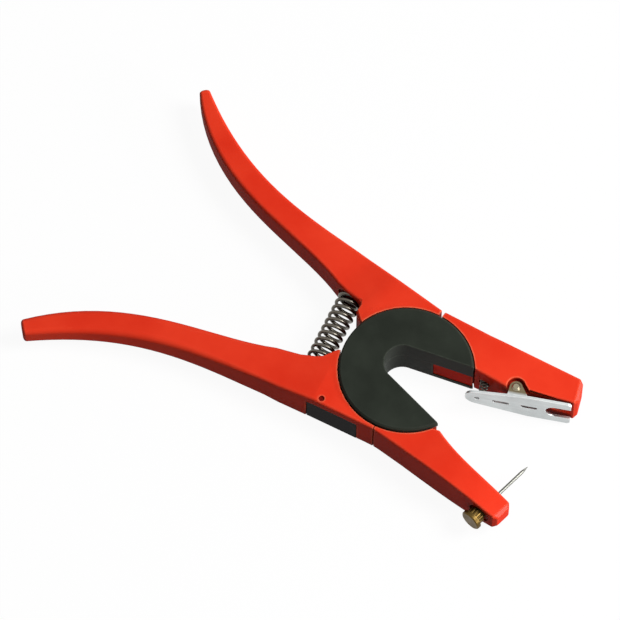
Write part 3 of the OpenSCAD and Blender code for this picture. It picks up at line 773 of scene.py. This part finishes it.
class APPLICATOR_OT_clip(Operator):
    """Round the pressed tag clip and its rivet, and plate them"""

    bl_idname = "applicator.clip"
    bl_label = "Tag clip and rivet"

    def execute(self, context):
        shapes, colours = context.scene.applicator_shapes, context.scene.applicator_finishes
        plate = metal_material(
            "plated_clip_steel",
            colours.zinc,
            shaded_and_tarnished(colours.zinc),
            0.3,
            stretch=(0.06, 1.0, 1.0),
            turn=(0.0, 0.0, -CLIP_SLOPE),
            scale=700.0,
            reach=2.2 * MM,
        )
        shade_the_ears(plate, colours.zinc_ear_shade)
        rounded_piece(
            "tag_clip", "pressed_clip", "clip", plate, "clip_steel", shapes.sheet_edge, segments=2
        )
        bright = metal_material(
            "peened_rivet_steel",
            colours.rivet,
            shaded_and_tarnished(colours.rivet),
            0.34,
            scale=1200.0,
            edges=0.2,
        )
        rounded_piece(
            "clip_pin",
            "clip_rivet",
            "clip_arm",
            bright,
            "rivet_steel",
            shapes.small_edge,
            degrees=25,
        )
        return {"FINISHED"}


class APPLICATOR_OT_needle(Operator):
    """Grind the tag needle and turn its brass nut"""

    bl_idname = "applicator.needle"
    bl_label = "Needle and nut"

    def execute(self, context):
        shapes, colours = context.scene.applicator_shapes, context.scene.applicator_finishes
        ground = metal_material(
            "ground_needle_steel",
            colours.needle,
            shaded_and_tarnished(colours.needle),
            0.26,
            stretch=(1.0, 0.08, 1.0),
            turn=(0.0, 0.0, NEEDLE_LEAN),
            scale=1600.0,
            edges=0.0,
        )
        needle = copy_of("tag_needle", "needle")
        flatten_faces(needle)
        shade(needle, 30)
        finish_piece(needle, "pin_arm", ground, "needle_steel", "tag_needle")
        brass = metal_material(
            "turned_brass",
            colours.brass,
            colours.brass_hollow_shade,
            0.34,
            stretch=(0.25, 1.0, 0.25),
            turn=(0.0, 0.0, NEEDLE_LEAN),
            scale=1300.0,
        )
        rounded_piece(
            "needle_nut", "thumb_nut", "pin_arm", brass, "brass", shapes.small_edge, segments=2
        )
        return {"FINISHED"}


class APPLICATOR_OT_plug(Operator):
    """Round the storage plug in the lower handle and its cross pin"""

    bl_idname = "applicator.plug"
    bl_label = "Storage plug and pin"

    def execute(self, context):
        shapes, colours = context.scene.applicator_shapes, context.scene.applicator_finishes
        black = moulded_material("plug_black", colours.plug, colours.cover, 0.6)
        rounded_piece(
            "storage_plug", "handle_plug", "clip_arm", black, "black_plug", shapes.cover_edge
        )
        # painted shade: the sunk pin end takes a darkened enamel in place of the shade in its
        # recess
        painted = enamel_material(
            "sunk_enamel", colours.enamel_pin_shade, colours.enamel_pin_shade, colours.enamel_deep
        )
        rounded_piece(
            "plug_pin",
            "plug_cross_pin",
            "clip_arm",
            painted,
            "red_paint",
            shapes.small_edge,
            degrees=25,
        )
        return {"FINISHED"}


class APPLICATOR_OT_stage(Operator):
    """Set the floor, the lamps and the camera"""

    bl_idname = "applicator.stage"
    bl_label = "Stage"

    def execute(self, context):
        view = context.scene.applicator_view
        self.add_floor(view)
        self.add_sky(context, view)
        self.add_lamps(view)
        self.add_camera(context, view)
        context.scene.view_settings.view_transform = "Standard"
        return {"FINISHED"}

    def add_floor(self, view):
        """A floor that shows as white with a faint shadow, and throws little light back."""
        bpy.ops.object.select_all(action="DESELECT")
        bpy.ops.mesh.primitive_plane_add(size=view.floor_size)
        floor = bpy.context.active_object
        floor.name = "floor"
        bounce = (view.bounce, view.bounce, view.bounce, 1.0)
        material, graph, shader = start_material("plain_floor", Roughness=0.9, Base_Color=bounce)
        white = graph.feed(graph.node("Emission"), Color=WHITE, Strength=1.0)
        lit = graph.feed(graph.node("BsdfDiffuse"), Color=WHITE)
        seen = mixed_shader(graph, 1.0 - view.floor_shadow, lit.outputs[0], white.outputs[0])
        whole = mixed_shader(graph, seen_directly(graph), shader.outputs[0], seen)
        graph.feed(material.node_tree.nodes["Material Output"], Surface=whole)
        floor.data.materials.append(material)

    def add_sky(self, context, view):
        """An even light that shows as white."""
        world = bpy.data.worlds.new("studio_sky")
        world.use_nodes = True
        context.scene.world = world
        graph = Graph(world.node_tree)
        strength = ranged(graph, seen_directly(graph), 0.0, 1.0, view.sky, 1.0)
        graph.feed(world.node_tree.nodes["Background"], Color=WHITE, Strength=strength)

    def add_lamps(self, view):
        """Square lamps that face the middle of the view."""
        for name, (place, size, setting) in LAMPS.items():
            bpy.ops.object.light_add(type="AREA", location=place)
            lamp = bpy.context.active_object
            lamp.name = name
            lamp.data.name = name
            lamp.data.size = size
            lamp.data.energy = getattr(view, setting)
            aim = Vector(view.look_at) - Vector(place)
            lamp.rotation_mode = "QUATERNION"
            lamp.rotation_quaternion = aim.to_track_quat("-Z", "Y")

    def add_camera(self, context, view):
        """A camera whose lens takes in the view's width at its distance."""
        back = Vector(
            (
                cos(view.azimuth) * cos(view.elevation),
                sin(view.azimuth) * cos(view.elevation),
                sin(view.elevation),
            )
        )
        bpy.ops.object.camera_add(location=Vector(view.look_at) + back * view.distance)
        camera = bpy.context.active_object
        camera.name = "camera"
        camera.rotation_mode = "QUATERNION"
        camera.rotation_quaternion = (-back).to_track_quat("-Z", "Y")
        camera.data.lens = camera.data.sensor_width * view.distance / view.view_width
        camera.data.clip_end = 20.0
        context.scene.camera = camera


class APPLICATOR_PT_parts(Panel):
    """Lists the applicator's pieces and their settings"""

    bl_idname = "APPLICATOR_PT_parts"
    bl_label = "Ear tag applicator"
    bl_space_type = "VIEW_3D"
    bl_region_type = "UI"
    bl_category = "Applicator"

    def draw(self, context):
        column = self.layout.column()
        for operator in OPERATORS:
            column.operator(operator.bl_idname)
        for name in SETTINGS:
            settings = getattr(context.scene, name)
            for setting in settings.__annotations__:
                column.prop(settings, setting)


# ---- registration ----

OPERATORS = (
    APPLICATOR_OT_castings,
    APPLICATOR_OT_covers,
    APPLICATOR_OT_screws,
    APPLICATOR_OT_springs,
    APPLICATOR_OT_clip,
    APPLICATOR_OT_needle,
    APPLICATOR_OT_plug,
    APPLICATOR_OT_stage,
)
SETTINGS = {
    "applicator_shapes": ApplicatorShapes,
    "applicator_finishes": ApplicatorFinishes,
    "applicator_view": ApplicatorView,
}
CLASSES = (*SETTINGS.values(), *OPERATORS, APPLICATOR_PT_parts)


def register():
    for kind in CLASSES:
        bpy.utils.register_class(kind)
    for name, settings in SETTINGS.items():
        setattr(bpy.types.Scene, name, PointerProperty(type=settings))


def unregister():
    for name in SETTINGS:
        delattr(bpy.types.Scene, name)
    for kind in reversed(CLASSES):
        bpy.utils.unregister_class(kind)


def main():
    register()
    bpy.ops.applicator.castings()
    bpy.ops.applicator.covers()
    bpy.ops.applicator.screws()
    bpy.ops.applicator.springs()
    bpy.ops.applicator.clip()
    bpy.ops.applicator.needle()
    bpy.ops.applicator.plug()
    bpy.ops.applicator.stage()
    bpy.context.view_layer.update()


if __name__ == "__main__":
    main()
